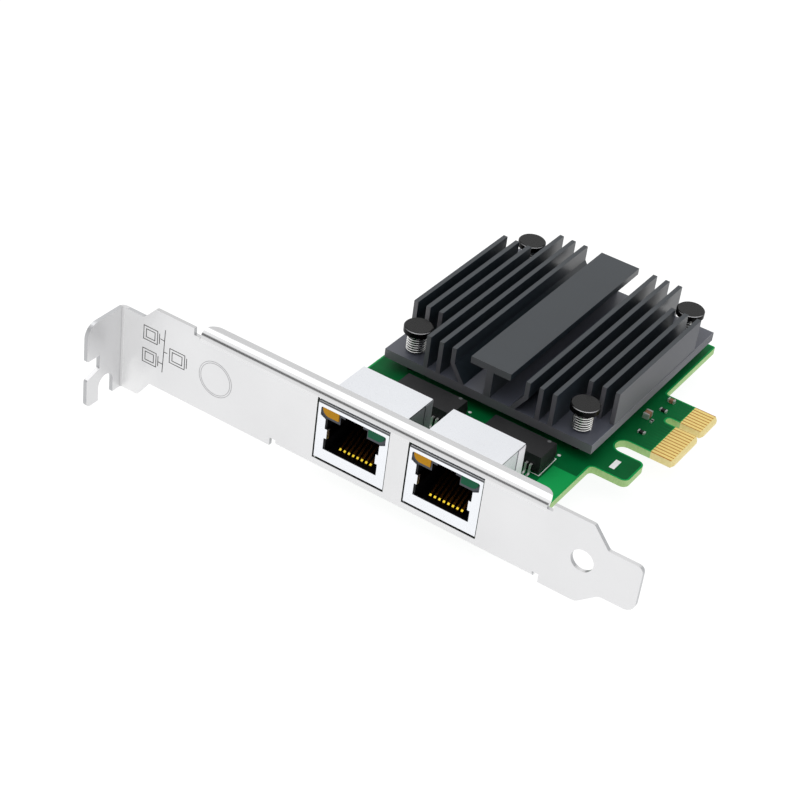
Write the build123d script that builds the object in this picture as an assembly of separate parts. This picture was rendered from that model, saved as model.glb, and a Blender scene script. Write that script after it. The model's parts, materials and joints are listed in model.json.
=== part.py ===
from build123d import *
import math
import os

# Two-port network interface card with its full-height bracket, in millimetres.
# Working datum: X runs along the bracket from the tab's outer face, Y from the bracket's outer
# face towards the back of the board, Z up from the bracket's lower edge, component side up.
# At export everything moves so that the origin is on the connector's tip edge, at the middle
# of the key notch and of the board's thickness.

# Bracket
sheet = 0.86
bend_inner = 0.45
bend_outer = bend_inner + sheet
bracket_length = 119.85
bracket_height = 18.42
tab_reach = 11.43
tab_bottom = -4.05
tab_top = 15.38
tab_corner_radius = 3.0
finger_radius = 1.2
lobe_bottom = 7.0
notch_depth = 3.8
notch_floor = 3.75
notch_slope = 1.3
screw_slot_width = 4.42
screw_slot_to_tab_edge = 5.77
screw_slot_end = 1.3
neck_length = 5.2
shoulder_start = 8.1
upper_neck_length = 6.35
upper_shoulder_start = 9.1
neck_radius = 0.9
tongue_bottom = 3.7
tongue_width = 10.6
tongue_length = 7.2
tongue_lower_radius = 2.3
tongue_upper_radius = 1.3
lower_chamfer_to_end = 11.55
lower_chamfer_radius = 2.2
upper_chamfer_to_end = 10.75
upper_chamfer_radius = 0.8
bracket_hole_to_end = 11.75
bracket_hole_z = 9.55
bracket_hole_radius = 2.375
upper_flange_start = 20.2
upper_flange_to_end = 20.55
upper_flange_depth = 3.8
upper_flange_bend = 2.4
upper_flange_radius = 2.6
lower_flange_before_screw = 4.4
lower_flange_past_screw = 9.5
lower_flange_depth = 3.0
relief_width = 1.4
relief_depth = 1.51
bend_margin = 0.2
lower_flange_rise = 0.34
lobe_radius = 0.5
ear_depth = 9.2
ear_width = 6.0
ear_radius = 1.5
ear_screw_setback = 3.22
window_width = 16.68
window_height = 14.23
window_bottom = 2.46
window_left = 48.75
port_pitch = 20.88

# Circuit board
board_thickness = 1.6
board_left = 39.96
board_right = 91.97
board_front = 1.7
board_back = 90.5
board_corner_radius = 0.5
hook_length = 8.08
hook_front = 34.4
hook_slot_front = 42.45
hook_radius = 1.45
hook_root_radius = 1.05
hook_slot_setback = 0.23
hook_slot_flat = 0.18
connector_length = 12.28
key_notch_y = 58.8
tongue_before_notch = 12.15
tongue_after_notch = 8.15
key_notch_width = 1.9
key_notch_depth = 8.05
key_notch_flat = 0.2
tip_corner = 0.6
tip_bevel_length = 0.6
tip_bevel_depth = 0.4
connector_root_radius = 0.6

# Edge contacts
contact_pitch = 1.0
contact_width = 0.7
contact_thickness = 0.05
contact_length = 4.7
first_contact_offset = 1.5
contacts_before_notch = 11
contacts_after_notch = 7

# Ear screws
ear_screw_radius = 1.45
ear_screw_clearance = 0.05
ear_screw_head_radius = 2.6
ear_screw_head_height = 1.6
ear_screw_recess_radius = 0.9
ear_screw_recess_depth = 0.9
ear_screw_recess_sides = 6
ear_screw_left_inset = 4.44
ear_screw_right_inset = 2.57
board_hole_clearance = 0.15

# Heat sink
sink_width = 49.26
sink_length = 54.16
sink_middle = 66.85
sink_front = 34.24
sink_underside = 5.4
sink_base_height = 2.05
sink_height = 9.6
fin_thickness = 1.0
inner_fin_offset = 8.7
inner_fin_lean = 2.7
inner_fin_bend_height = 6.0
outer_fin_inset = 0.63
full_fins_per_side = 2
short_fins_per_side = 3
short_fin_inset = 9.12
rail_width = 9.4
rail_thickness = 1.55
rail_stem = 1.55

# Push pins and their springs
pin_inset_x = 4.8
pin_inset_y = 4.07
pin_hole_clearance = 0.25
pin_shaft_radius = 1.25
pin_cap_radius = 3.07
pin_cap_thickness = 1.4
pin_cap_edge = 0.22
pin_collar_height = 1.2
pin_collar_clearance = 0.2
pin_barb_radius = 1.75
pin_barb_length = 2.6
pin_barb_shoulder = 0.4
pin_tip_radius = 0.8
pin_slot_width = 0.6
pin_slot_depth = 4.2
spring_height = 4.55
spring_wire_radius = 0.2
spring_mean_radius = 1.8
spring_turns = 7
spring_steps_per_turn = 8
wire_sides = 6

# Jacks
jack_width = 16.2
jack_height = 13.3
jack_front = 0.2
jack_depth = 15.0
shell_thickness = 0.3
shell_edge_radius = 0.5
jack_seam = 12.6
seam_step = 0.1
opening_width = 12.44
opening_bottom = 2.5
opening_shoulder = 9.55
light_row_bottom = 10.15
light_row_top = 12.1
light_row_width = 14.9
light_row_radius = 0.4
insulator_clearance = 0.05
cavity_width = 11.9
cavity_floor = 1.6
cavity_depth = 11.4
key_width = 6.2
key_top = 11.3
key_slot_width = 4.1
light_width = 3.7
light_height = 1.85
light_depth = 6.0
light_corner = 1.5
light_edge_gap = 0.35
light_front_gap = 0.1
ground_finger_bottom = 5.1
ground_finger_height = 2.2
ground_finger_reach = 0.75
ground_finger_length = 6.0
peg_radius = 1.55
peg_spacing = 11.43
peg_y = 8.9
peg_length = 2.4
shell_leg_y = 7.2
shell_leg_width = 1.5
shell_leg_length = 2.7
jack_contact_count = 8
jack_contact_pitch = 1.016
jack_contact_width = 0.46
jack_contact_thickness = 0.35
jack_contact_run_height = 1.2
jack_contact_front = 2.35
jack_contact_bend = 0.65
jack_contact_end_y = 9.8
jack_contact_angle = 26.6
jack_contact_bend_turns = [270, 225, 180, 150]
jack_pin_rows = [12.0, 14.0]
jack_pin_length = 3.1
jack_pin_hole_radius = 0.42
jack_pin_hole_sides = 6

# Transformers
transformer_length = 14.6
transformer_width = 6.7
transformer_height = 3.8
transformer_standoff = 0.5
transformer_parting = 1.7
transformer_draft = 6
transformer_centre_x = 57.6
transformer_centre_y = 27.55
lead_count = 12
lead_pitch = 1.0
lead_width = 0.42
lead_thickness = 0.22
lead_span = 9.8
lead_foot = 0.8
lead_knee = 0.6

# Parts under the heat sink
controller_size = 17.0
controller_substrate = 0.56
controller_cap_size = 15.0
controller_height = 2.1
controller_draft = 20
thermal_pad_size = 14.0
flash_length = 6.0
flash_width = 5.0
flash_height = 0.75
flash_x = 50.5
flash_y = 58.0
crystal_length = 3.2
crystal_width = 2.5
crystal_height = 0.8
crystal_x = 80.5
crystal_y = 52.0

# Small parts by the connector: centre x, centre y, length along x, width along y, height
capacitor_places = [
    (92.75, 56.9, 1.3, 2.0, 1.25),
    (94.2, 64.95, 1.6, 0.8, 0.8),
]
resistor_places = [
    (94.3, 55.9, 0.5, 1.0, 0.4),
    (94.4, 60.9, 1.6, 0.8, 0.5),
    (94.5, 51.0, 1.6, 0.8, 0.5),
]
terminal_share = 0.22
terminal_proud = 0.03

# How far cuts run past what they cut, and how near a corner has to be to a named point
cut_margin = 2.0
same_place = 0.01

# Heights and places that follow from the sizes above
tab_edge = sheet - tab_reach
tongue_top = tongue_bottom + tongue_width
tongue_start = bracket_length - tongue_length
lower_chamfer_start = bracket_length - lower_chamfer_to_end
upper_chamfer_start = bracket_length - upper_chamfer_to_end
bracket_hole_x = bracket_length - bracket_hole_to_end
upper_flange_end = bracket_length - upper_flange_to_end
board_bottom = lower_flange_rise + sheet
board_top = board_bottom + board_thickness
hook_reach = board_right + hook_length
hook_slot_bottom = board_right + hook_slot_setback
connector_tip = board_right + connector_length
key_notch_bottom = connector_tip - key_notch_depth
connector_front = key_notch_y - tongue_before_notch
connector_back = key_notch_y + tongue_after_notch
sink_left = sink_middle - sink_width / 2
sink_back = sink_front + sink_length
sink_base_top = sink_underside + sink_base_height
sink_top = sink_underside + sink_height
fin_run = sink_width / 2 - outer_fin_inset - inner_fin_offset
fin_pitch = fin_run / (full_fins_per_side + short_fins_per_side)
full_fin_offsets = [inner_fin_offset + fin_pitch * (i + 1) for i in range(full_fins_per_side)]
short_fin_offsets = [sink_width / 2 - outer_fin_inset - fin_pitch * i for i in range(short_fins_per_side)]
pin_columns = [sink_left + pin_inset_x, sink_left + sink_width - pin_inset_x]
pin_rows = [sink_front + pin_inset_y, sink_back - pin_inset_y]
pin_places = [(x, y) for y in pin_rows for x in pin_columns]
ear_screw_y = ear_depth - ear_screw_setback
ear_screw_left = board_left + ear_screw_left_inset
ear_screw_right = board_right - ear_screw_right_inset
lower_flange_start = ear_screw_left - lower_flange_before_screw
lower_flange_end = ear_screw_right + lower_flange_past_screw
ear_screw_places = [(ear_screw_left, ear_screw_y), (ear_screw_right, ear_screw_y)]
jack_middles = [window_left + window_width / 2 + port_pitch * port for port in range(2)]
jack_back = jack_front + jack_depth
jack_top = board_top + jack_height


def outline(corners):
    """Flat face from its corners in order, each (a, b) or (a, b, radius)."""
    face = make_face(Polyline(*[corner[:2] for corner in corners], close=True))
    for radius in sorted({corner[2] for corner in corners if len(corner) == 3}):
        places = [Vector(*corner[:2]) for corner in corners if corner[2:] == (radius,)]
        rounded = [
            vertex for vertex in face.vertices()
            if any((Vector(vertex) - place).length < same_place for place in places)
        ]
        face = fillet(rounded, radius)
    return face


def along_x(face, low, high):
    """Solid of a face drawn in Y and Z, from low to high along X."""
    return Pos(low, 0, 0) * extrude(Plane.YZ * face, amount=high - low)


def along_y(face, low, high):
    """Solid of a face drawn in X and Z, from low to high along Y."""
    return Pos(0, high, 0) * extrude(Plane.XZ * face, amount=high - low)


def along_z(face, low, high):
    """Solid of a face drawn in X and Y, from low to high along Z."""
    return Pos(0, 0, low) * extrude(face, amount=high - low)


def block(x_range, y_range, z_range):
    """Box between the given pairs of limits."""
    sizes = [high - low for low, high in (x_range, y_range, z_range)]
    middle = [(low + high) / 2 for low, high in (x_range, y_range, z_range)]
    return Pos(*middle) * Box(*sizes)


def around(middle, size):
    """Pair of limits for a size about its middle."""
    return (middle - size / 2, middle + size / 2)


def hole(x, y, radius, low, high):
    """Upright cylinder for a hole or a pin."""
    return along_z(Pos(x, y) * Circle(radius), low, high)


def strip(points, width):
    """Face of a strip whose middle line follows the points, with mitred bends."""
    line = [Vector(*point) for point in points]
    runs = [(end - start).normalized() for start, end in zip(line, line[1:])]
    left = []
    right = []
    for index, point in enumerate(line):
        before = runs[max(index - 1, 0)]
        after = runs[min(index, len(runs) - 1)]
        along = (before + after).normalized()
        reach = width / 2 / along.dot(before)
        side = Vector(-along.Y, along.X) * reach
        left.append(point + side)
        right.append(point - side)
    return make_face(Polyline(*left, *reversed(right), close=True))


def group(pieces):
    """Several separate solids as one node."""
    return Compound([solid for piece in pieces for solid in piece.solids()])


def angle_profile(corner, leg_a, leg_b, outer_radius):
    """Section of the folded sheet: outer corner, signed leg lengths along both axes, outer bend radius."""
    a, b = corner
    inner_a = a + math.copysign(sheet, leg_a)
    inner_b = b + math.copysign(sheet, leg_b)
    return outline([
        (a, b, outer_radius),
        (a + leg_a, b),
        (a + leg_a, inner_b),
        (inner_a, inner_b, outer_radius - sheet),
        (inner_a, b + leg_b),
        (a, b + leg_b),
    ])


def bracket_face():
    """The long flat face with its tongue and slanted shoulders."""
    return along_y(outline([
        (bend_outer, tab_bottom),
        (neck_length, tab_bottom, neck_radius),
        (shoulder_start, 0, neck_radius),
        (lower_chamfer_start, 0, lower_chamfer_radius),
        (tongue_start, tongue_bottom, lower_chamfer_radius),
        (bracket_length, tongue_bottom, tongue_lower_radius),
        (bracket_length, tongue_top, tongue_upper_radius),
        (tongue_start, tongue_top, upper_chamfer_radius),
        (upper_chamfer_start, bracket_height, upper_chamfer_radius),
        (upper_shoulder_start, bracket_height, neck_radius),
        (upper_neck_length, tab_top, neck_radius),
        (bend_outer, tab_top),
    ]), 0, sheet)


def bracket_tab():
    """The screw tab with its notch and its open screw slot."""
    notch_wall = tab_edge + notch_depth
    slot_middle = tab_edge + screw_slot_to_tab_edge
    slot_radius = screw_slot_width / 2
    slot_centre_z = screw_slot_end - slot_radius
    face = outline([
        (-bend_inner, tab_top),
        (tab_edge, tab_top, tab_corner_radius),
        (tab_edge, lobe_bottom, lobe_radius),
        (notch_wall, lobe_bottom),
        (notch_wall, notch_floor),
        (tab_edge, notch_floor - notch_slope, lobe_radius),
        (tab_edge, tab_bottom, finger_radius),
        (-bend_inner, tab_bottom),
    ])
    tab = along_x(face, 0, sheet)
    slot_depth = slot_centre_z - tab_bottom
    slot_face = Pos(slot_middle, slot_centre_z) * Circle(slot_radius)
    slot_face += Pos(slot_middle, slot_centre_z - slot_depth) * Rectangle(screw_slot_width, 2 * slot_depth)
    tab -= along_x(slot_face, -cut_margin, sheet + cut_margin)
    leg = bend_outer + bend_margin
    bend = along_z(angle_profile((0, sheet), leg, -leg, bend_outer), tab_bottom, tab_top)
    return tab + bend


def upper_flange():
    """The stiffening flange folded back over the jacks."""
    leg = upper_flange_bend + bend_margin
    section = angle_profile((0, bracket_height), upper_flange_depth, -leg, upper_flange_bend)
    plan = outline([
        (upper_flange_start, -cut_margin),
        (upper_flange_end, -cut_margin),
        (upper_flange_end, upper_flange_depth, upper_flange_radius),
        (upper_flange_start, upper_flange_depth, upper_flange_radius),
    ])
    flange = along_x(section, upper_flange_start, upper_flange_end)
    return flange & along_z(plan, bracket_height - leg - cut_margin, bracket_height + cut_margin)


def lower_flange():
    """The flange under the board, with one ear for each board screw."""
    leg = bend_outer + bend_margin
    section = angle_profile((0, lower_flange_rise), leg, leg, bend_outer)
    flange = along_x(section, lower_flange_start, lower_flange_end)
    flange += block(
        (lower_flange_start, lower_flange_end),
        (bend_outer, lower_flange_depth),
        (lower_flange_rise, board_bottom),
    )
    for x, y in ear_screw_places:
        left, right = around(x, ear_width)
        flange += along_z(outline([
            (left, bend_outer),
            (right, bend_outer),
            (right, ear_depth, ear_radius),
            (left, ear_depth, ear_radius),
        ]), lower_flange_rise, board_bottom)
        flange -= hole(x, y, ear_screw_radius + ear_screw_clearance, 0, board_top)
    return flange


def full_height_bracket():
    """The folded steel sheet that holds the card in the chassis."""
    through = (-cut_margin, sheet + cut_margin)
    upper_fold = bracket_height - upper_flange_bend - bend_margin
    lower_fold = lower_flange_rise + bend_outer + bend_margin
    relief_bottom = bracket_height - relief_depth
    relieved_bottom = (lower_flange_start - relief_width, lower_flange_end + relief_width)
    flange_run = (upper_flange_start, upper_flange_end)
    face = bracket_face()
    face -= block(flange_run, through, (upper_fold, bracket_height + cut_margin))
    for relief_start in (upper_flange_start - relief_width, upper_flange_end):
        relief = (relief_start, relief_start + relief_width)
        face -= block(relief, through, (relief_bottom, bracket_height + cut_margin))
    face -= block(relieved_bottom, through, (-cut_margin, lower_fold))
    bracket = face + bracket_tab() + upper_flange() + lower_flange()
    for middle in jack_middles:
        bracket -= block(
            around(middle, window_width), through, (window_bottom, window_bottom + window_height)
        )
    bracket -= along_y(Pos(bracket_hole_x, bracket_hole_z) * Circle(bracket_hole_radius), *through)
    return bracket


def bracket_screws():
    """Two pan-head screws through the board into the bracket's ears."""
    screws = []
    for x, y in ear_screw_places:
        screw = hole(x, y, ear_screw_radius, lower_flange_rise, board_top)
        screw += hole(x, y, ear_screw_head_radius, board_top, board_top + ear_screw_head_height)
        recess_bottom = board_top + ear_screw_head_height - ear_screw_recess_depth
        recess = Pos(x, y) * RegularPolygon(ear_screw_recess_radius, ear_screw_recess_sides)
        screw -= along_z(recess, recess_bottom, jack_top)
        screws.append(screw)
    return group(screws)


def board_outline():
    """The board's edge: main area, retention hook and connector tongue with its key notch."""
    notch_front, notch_back = around(key_notch_y, key_notch_width)
    notch_radius = (key_notch_width - key_notch_flat) / 2
    slot_radius = (connector_front - hook_slot_front - hook_slot_flat) / 2
    return outline([
        (board_left, board_front, board_corner_radius),
        (board_right, board_front, board_corner_radius),
        (board_right, hook_front, hook_root_radius),
        (hook_reach, hook_front, hook_radius),
        (hook_reach, hook_slot_front, hook_radius),
        (hook_slot_bottom, hook_slot_front, slot_radius),
        (hook_slot_bottom, connector_front, slot_radius),
        (connector_tip - tip_corner, connector_front),
        (connector_tip, connector_front + tip_corner),
        (connector_tip, notch_front - tip_corner),
        (connector_tip - tip_corner, notch_front),
        (key_notch_bottom, notch_front, notch_radius),
        (key_notch_bottom, notch_back, notch_radius),
        (connector_tip - tip_corner, notch_back),
        (connector_tip, notch_back + tip_corner),
        (connector_tip, connector_back - tip_corner),
        (connector_tip - tip_corner, connector_back),
        (board_right, connector_back, connector_root_radius),
        (board_right, board_back, board_corner_radius),
        (board_left, board_back, board_corner_radius),
    ])


def circuit_board():
    """The laminate with its bevelled connector edge and every hole that a part goes through."""
    board = along_z(board_outline(), board_bottom, board_top)
    bevel_start = connector_tip - tip_bevel_length
    for surface, inward in ((board_top, -tip_bevel_depth), (board_bottom, tip_bevel_depth)):
        wedge = make_face(Polyline(
            (bevel_start, surface),
            (connector_tip + tip_bevel_length, surface),
            (connector_tip + tip_bevel_length, surface + 2 * inward),
            close=True,
        ))
        board -= along_y(wedge, connector_front - tip_corner, connector_back + tip_corner)
    holes = [(x, y, ear_screw_radius + board_hole_clearance) for x, y in ear_screw_places]
    holes += [(x, y, pin_shaft_radius + pin_hole_clearance) for x, y in pin_places]
    for middle in jack_middles:
        holes += [(x, peg_y, peg_radius + insulator_clearance) for x in around(middle, peg_spacing)]
        for x, y in jack_pin_places(middle):
            pin_hole = Pos(x, y) * RegularPolygon(jack_pin_hole_radius, jack_pin_hole_sides)
            board -= along_z(pin_hole, board_bottom - cut_margin, board_top + cut_margin)
        for x_range in shell_leg_ranges(middle):
            slot_x = around(sum(x_range) / 2, shell_thickness + 2 * board_hole_clearance)
            slot_y = around(shell_leg_y, shell_leg_width + 2 * board_hole_clearance)
            board -= block(slot_x, slot_y, (board_bottom - cut_margin, board_top + cut_margin))
    for x, y, radius in holes:
        board -= hole(x, y, radius, board_bottom - cut_margin, board_top + cut_margin)
    return board


def edge_contacts():
    """Gold fingers on both faces of the connector tongue, either side of the key notch."""
    before = [key_notch_y - first_contact_offset - contact_pitch * i for i in range(contacts_before_notch)]
    after = [key_notch_y + first_contact_offset + contact_pitch * i for i in range(contacts_after_notch)]
    contact_end = connector_tip - tip_bevel_length
    fingers = []
    for y in before + after:
        for low in (board_top, board_bottom - contact_thickness):
            fingers.append(block(
                (contact_end - contact_length, contact_end),
                around(y, contact_width),
                (low, low + contact_thickness),
            ))
    return group(fingers)


def heat_sink():
    """One extrusion: base, central T rail, two leaning fins and plain fins to either side."""
    bend_z = sink_underside + inner_fin_bend_height
    foot_offset = inner_fin_offset - inner_fin_lean
    middle_z = (sink_underside + sink_top) / 2
    section = outline([
        (-sink_width / 2, sink_underside),
        (sink_width / 2, sink_underside),
        (sink_width / 2, sink_base_top),
        (-sink_width / 2, sink_base_top),
    ])
    section += Pos(0, middle_z) * Rectangle(rail_stem, sink_height)
    section += Pos(0, sink_top - rail_thickness / 2) * Rectangle(rail_width, rail_thickness)
    for side in (-1, 1):
        section += strip([
            (side * foot_offset, sink_base_top - fin_thickness / 2),
            (side * foot_offset, sink_base_top),
            (side * inner_fin_offset, bend_z),
            (side * inner_fin_offset, sink_top),
        ], fin_thickness)
        for offset in full_fin_offsets:
            section += Pos(side * offset, middle_z) * Rectangle(fin_thickness, sink_height)
    sink = along_y(section, sink_front, sink_back)
    short_fins = Sketch()
    for side in (-1, 1):
        for offset in short_fin_offsets:
            short_fins += Pos(side * offset, middle_z) * Rectangle(fin_thickness, sink_height)
    sink += along_y(short_fins, sink_front + short_fin_inset, sink_back - short_fin_inset)
    sink = Pos(sink_middle, 0, 0) * sink
    for x, y in pin_places:
        sink -= hole(x, y, pin_shaft_radius + pin_hole_clearance, sink_underside - cut_margin, sink_top)
    return sink


def push_pin():
    """Turned profile of one pin about Z, with its split barb below the board."""
    cap_bottom = sink_base_top + spring_height
    cap_top = cap_bottom + pin_cap_thickness
    collar_radius = spring_mean_radius - spring_wire_radius - pin_collar_clearance
    collar_bottom = cap_bottom - pin_collar_height
    barb_top = board_bottom - insulator_clearance
    profile = make_face(Polyline(
        (0, cap_top),
        (pin_cap_radius - pin_cap_edge, cap_top),
        (pin_cap_radius, cap_top - pin_cap_edge),
        (pin_cap_radius, cap_bottom),
        (collar_radius, cap_bottom),
        (collar_radius, collar_bottom),
        (pin_shaft_radius, collar_bottom),
        (pin_shaft_radius, barb_top),
        (pin_barb_radius, barb_top),
        (pin_barb_radius, barb_top - pin_barb_shoulder),
        (pin_tip_radius, barb_top - pin_barb_length),
        (0, barb_top - pin_barb_length),
        close=True,
    ))
    pin = revolve(Plane.XZ * profile, Axis.Z)
    split_bottom = barb_top - pin_barb_length
    pin -= block(
        around(0, pin_slot_width),
        around(0, 2 * (pin_barb_radius + cut_margin)),
        (split_bottom - cut_margin, split_bottom + pin_slot_depth),
    )
    return pin


def push_pins():
    """The four pins that press the heat sink down."""
    pin = push_pin()
    return group([Pos(x, y, 0) * pin for x, y in pin_places])


def push_pin_springs():
    """Four coil springs, each between the heat sink's base and a pin's shoulder."""
    coil_height = spring_height - 2 * spring_wire_radius
    steps = spring_turns * spring_steps_per_turn
    coil_points = []
    for step in range(steps + 1):
        angle = 2 * math.pi * step / spring_steps_per_turn
        x = spring_mean_radius * math.cos(angle)
        y = spring_mean_radius * math.sin(angle)
        coil_points.append((x, y, coil_height * step / steps))
    coil = Polyline(*coil_points)
    wire = Plane(origin=coil @ 0, z_dir=coil % 0) * RegularPolygon(spring_wire_radius, wire_sides)
    spring = sweep(wire, path=coil, transition=Transition.RIGHT)
    return group([Pos(x, y, sink_base_top + spring_wire_radius) * spring for x, y in pin_places])


def shell_leg_ranges(middle):
    """Limits along X of a jack shell's two solder legs."""
    left, right = around(middle, jack_width)
    return [(left, left + shell_thickness), (right - shell_thickness, right)]


def jack_pin_places(middle):
    """Centres of a jack's solder pins, in two staggered rows."""
    first = middle - jack_contact_pitch * (jack_contact_count - 1) / 2
    return [
        (first + jack_contact_pitch * i, jack_pin_rows[i % 2]) for i in range(jack_contact_count)
    ]


def ground_finger(middle, side):
    """A spring finger bent from the shell's face into the plug's way."""
    root = opening_width / 2 + ground_finger_reach / 2
    tip = opening_width / 2 - ground_finger_reach
    plate_middle = jack_front + shell_thickness / 2
    line = strip([
        (middle + side * root, plate_middle),
        (middle + side * (tip + shell_thickness), plate_middle),
        (middle + side * (tip + shell_thickness / 2), plate_middle + ground_finger_reach),
        (middle + side * (tip + shell_thickness), plate_middle + ground_finger_length),
    ], shell_thickness)
    low = board_top + ground_finger_bottom
    return along_z(line, low, low + ground_finger_height)


def jack_shell(middle):
    """The folded metal shell, open below, with its face frame, fingers, seams and legs."""
    left, right = around(middle, jack_width)
    shell = block((left, right), (jack_front, jack_back), (board_top, jack_top))
    shell -= block(
        (left + shell_thickness, right - shell_thickness),
        (jack_front + shell_thickness, jack_back - shell_thickness),
        (board_top - cut_margin, jack_top - shell_thickness),
    )
    front_edge = shell.edges().filter_by(Axis.X).group_by(Axis.Y)[0].sort_by(Axis.Z)[-1]
    shell = fillet(front_edge, shell_edge_radius)
    narrow = opening_width / 2
    wide = light_row_width / 2
    opening = Pos(middle, board_top) * outline([
        (-narrow, opening_bottom),
        (narrow, opening_bottom),
        (narrow, opening_shoulder),
        (wide, light_row_bottom),
        (wide, light_row_top, light_row_radius),
        (-wide, light_row_top, light_row_radius),
        (-wide, light_row_bottom),
        (-narrow, opening_shoulder),
    ])
    shell -= along_y(opening, jack_front - cut_margin, jack_front + 2 * shell_thickness)
    lap_top = jack_top - shell_thickness
    shell += block((left - seam_step, left), (jack_seam, jack_back), (board_top, lap_top))
    shell += block((right, right + seam_step), (jack_seam, jack_back), (board_top, lap_top))
    for leg_range in shell_leg_ranges(middle):
        shell += block(
            leg_range, around(shell_leg_y, shell_leg_width), (board_top - shell_leg_length, board_top)
        )
    for side in (-1, 1):
        shell += ground_finger(middle, side)
    return shell


def light_pipe(middle, side, clearance=0):
    """The clear block of one port light; the clearance makes the pocket that it sits in."""
    outer = light_row_width / 2 - light_edge_gap
    top = light_row_top
    bottom = top - light_height
    face = outline([
        (side * (outer - light_width), bottom),
        (side * outer, bottom, light_corner),
        (side * outer, top),
        (side * (outer - light_width), top),
    ])
    face = offset(Pos(middle, board_top) * face, clearance) if clearance else Pos(middle, board_top) * face
    front = jack_front + light_front_gap
    return along_y(face, front, front + light_depth)


def jack_contact(x, pin_y):
    """One spring wire: solder pin, run under the floor, front bend and free slanting end."""
    run_z = board_top + jack_contact_run_height
    bend_y = jack_contact_front + jack_contact_bend
    bend_z = run_z + jack_contact_bend
    bend_end = 90 + jack_contact_angle
    bend_points = []
    for turn in (*jack_contact_bend_turns, bend_end):
        angle = math.radians(turn)
        bend_points.append((
            bend_y + jack_contact_bend * math.cos(angle), bend_z + jack_contact_bend * math.sin(angle)
        ))
    free_y, free_z = bend_points[-1]
    free_z += (jack_contact_end_y - free_y) * math.tan(math.radians(jack_contact_angle))
    pin_points = [(pin_y, board_top - jack_pin_length), (pin_y, run_z)]
    points = [*pin_points, *bend_points, (jack_contact_end_y, free_z)]
    return along_x(strip(points, jack_contact_thickness), *around(x, jack_contact_width))


def jack_contacts(middle):
    """The eight spring wires of one jack."""
    return group([jack_contact(x, y) for x, y in jack_pin_places(middle)])


def jack_insulator(middle):
    """The plastic body with the plug's cavity, light pockets, wire channels and board pegs."""
    width = jack_width - 2 * (shell_thickness + insulator_clearance)
    front = jack_front + shell_thickness + insulator_clearance
    back = jack_back - shell_thickness - insulator_clearance
    body = block(
        around(middle, width), (front, back), (board_top, jack_top - shell_thickness - insulator_clearance)
    )
    cavity_y = (front - cut_margin, front + cavity_depth)
    cavity_top = board_top + opening_shoulder
    body -= block(around(middle, cavity_width), cavity_y, (board_top + cavity_floor, cavity_top))
    body -= block(around(middle, key_width), cavity_y, (cavity_top - cut_margin, board_top + key_top))
    body -= block(around(middle, key_slot_width), cavity_y, (cavity_top, board_top + light_row_top))
    for side in (-1, 1):
        body -= light_pipe(middle, side, insulator_clearance)
    body -= jack_contacts(middle)
    for x in around(middle, peg_spacing):
        body += hole(x, peg_y, peg_radius, board_top - peg_length, board_top + cavity_floor / 2)
    return body


def transformer_places():
    """Centres of the two transformers along X, one behind each jack."""
    return [transformer_centre_x + port_pitch * port for port in range(2)]


def transformer_body(x):
    """Moulded block with draft above and below its parting line."""
    parting = board_top + transformer_standoff + transformer_parting
    face = Pos(x, transformer_centre_y, parting) * Rectangle(transformer_length, transformer_width)
    upper = extrude(face, amount=transformer_height - transformer_parting, taper=transformer_draft)
    lower = extrude(face, amount=-transformer_parting, taper=transformer_draft)
    return upper + lower


def transformer_leads(x):
    """Gull-wing leads along both long sides of one transformer."""
    parting = board_top + transformer_standoff + transformer_parting
    foot_z = board_top + lead_thickness / 2
    reach = (lead_span - transformer_width) / 2
    first = x - lead_pitch * (lead_count - 1) / 2
    leads = []
    for side in (-1, 1):
        edge = transformer_centre_y + side * transformer_width / 2
        shape = strip([
            (edge, parting),
            (edge + side * lead_knee, parting),
            (edge + side * (reach - lead_foot), foot_z),
            (edge + side * reach, foot_z),
        ], lead_thickness)
        leads += [along_x(shape, *around(first + lead_pitch * i, lead_width)) for i in range(lead_count)]
    return group(leads)


def ethernet_controller():
    """The controller package: flat substrate with a moulded cap."""
    middle_y = (sink_front + sink_back) / 2
    cap_bottom = board_top + controller_substrate
    cap_face = Pos(sink_middle, middle_y, cap_bottom) * Rectangle(controller_cap_size, controller_cap_size)
    package = block(
        around(sink_middle, controller_size), around(middle_y, controller_size), (board_top, cap_bottom)
    )
    cap_height = controller_height - controller_substrate
    return package + extrude(cap_face, amount=cap_height, taper=controller_draft)


def thermal_pad():
    """Soft pad that fills the space between the controller and the heat sink."""
    middle_y = (sink_front + sink_back) / 2
    return block(
        around(sink_middle, thermal_pad_size),
        around(middle_y, thermal_pad_size),
        (board_top + controller_height, sink_underside),
    )


def flat_package(x, y, length, width, height):
    """Leadless package that lies flat on the board."""
    return block(around(x, length), around(y, width), (board_top, board_top + height))


def chip_pieces(x, y, length, width, height):
    """One chip part: its body, then its two tinned ends across the longer side."""
    lies_along_x = length > width
    long_side = max(length, width)
    short_side = min(length, width)
    cap = long_side * terminal_share
    body = block(around(0, long_side - 2 * cap), around(0, short_side), (terminal_proud, height))
    ends = []
    for side in (-1, 1):
        ends.append(block(
            around(side * (long_side - cap) / 2, cap),
            around(0, short_side + 2 * terminal_proud),
            (0, height + terminal_proud),
        ))
    place = Pos(x, y, board_top) * Rot(0, 0, 0 if lies_along_x else 90)
    return place * body, [place * end for end in ends]


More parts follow.
